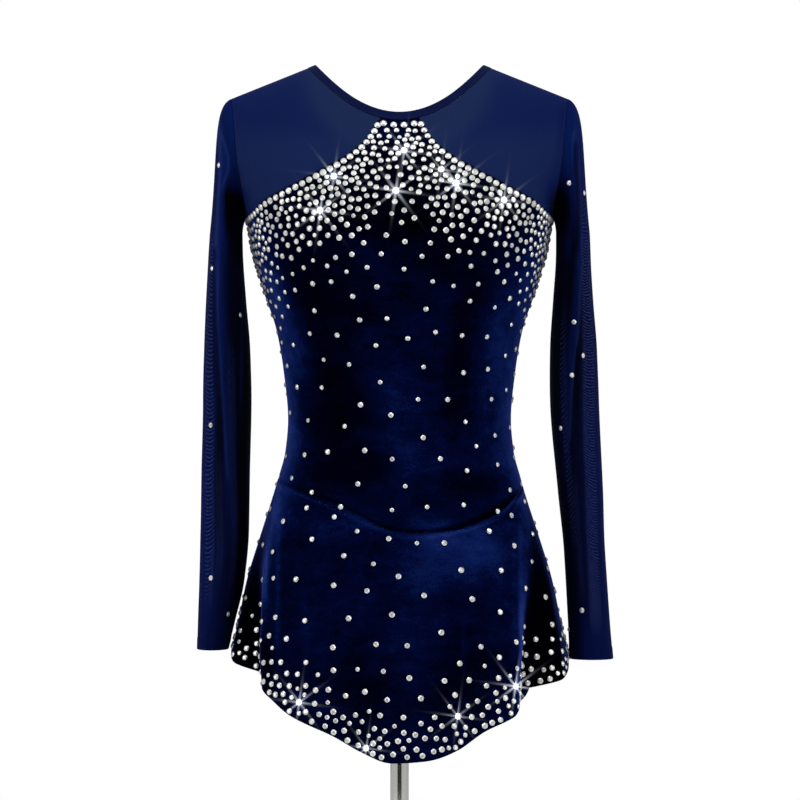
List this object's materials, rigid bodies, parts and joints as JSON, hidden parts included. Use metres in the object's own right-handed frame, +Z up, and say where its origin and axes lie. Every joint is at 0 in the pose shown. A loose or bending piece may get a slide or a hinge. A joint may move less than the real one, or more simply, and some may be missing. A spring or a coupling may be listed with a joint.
{
  "type": "figure skating dress on a dress form stand",
  "caption": "Long-sleeved velvet and net figure skating dress with crystals, worn by a limbless dress form on a pole with a round base.",
  "frame": {"origin": "centre of the base's flat underside, where the stand rests on the floor or table", "axes": "+Z up along the pole, -Y is the front of the dress, +X is to the right of someone who looks at its front"},
  "size_m": [0.4282, 0.3, 1.0191],
  "materials": {
    "velvet": "navy crushed stretch velvet",
    "stretch_net": "navy sheer stretch net",
    "crystal": "faceted glass stones with a silver foil back",
    "form_skin": "smooth white, matt",
    "chrome_pole": "polished",
    "chrome_base": "polished"
  },
  "bodies": {
    "root": {"bodice_front": "velvet", "bodice_back": "velvet", "skirt_front": "velvet", "skirt_back": "velvet", "briefs_front": "velvet", "briefs_back": "velvet", "briefs_gusset": "velvet", "yoke_front_left": "stretch_net", "yoke_front_right": "stretch_net", "yoke_back": "stretch_net", "sleeve_left": "stretch_net", "sleeve_right": "stretch_net", "neck_binding": "stretch_net", "dress_form": "form_skin", "pole": "chrome_pole", "base": "chrome_base"}
  },
  "joints": []
}
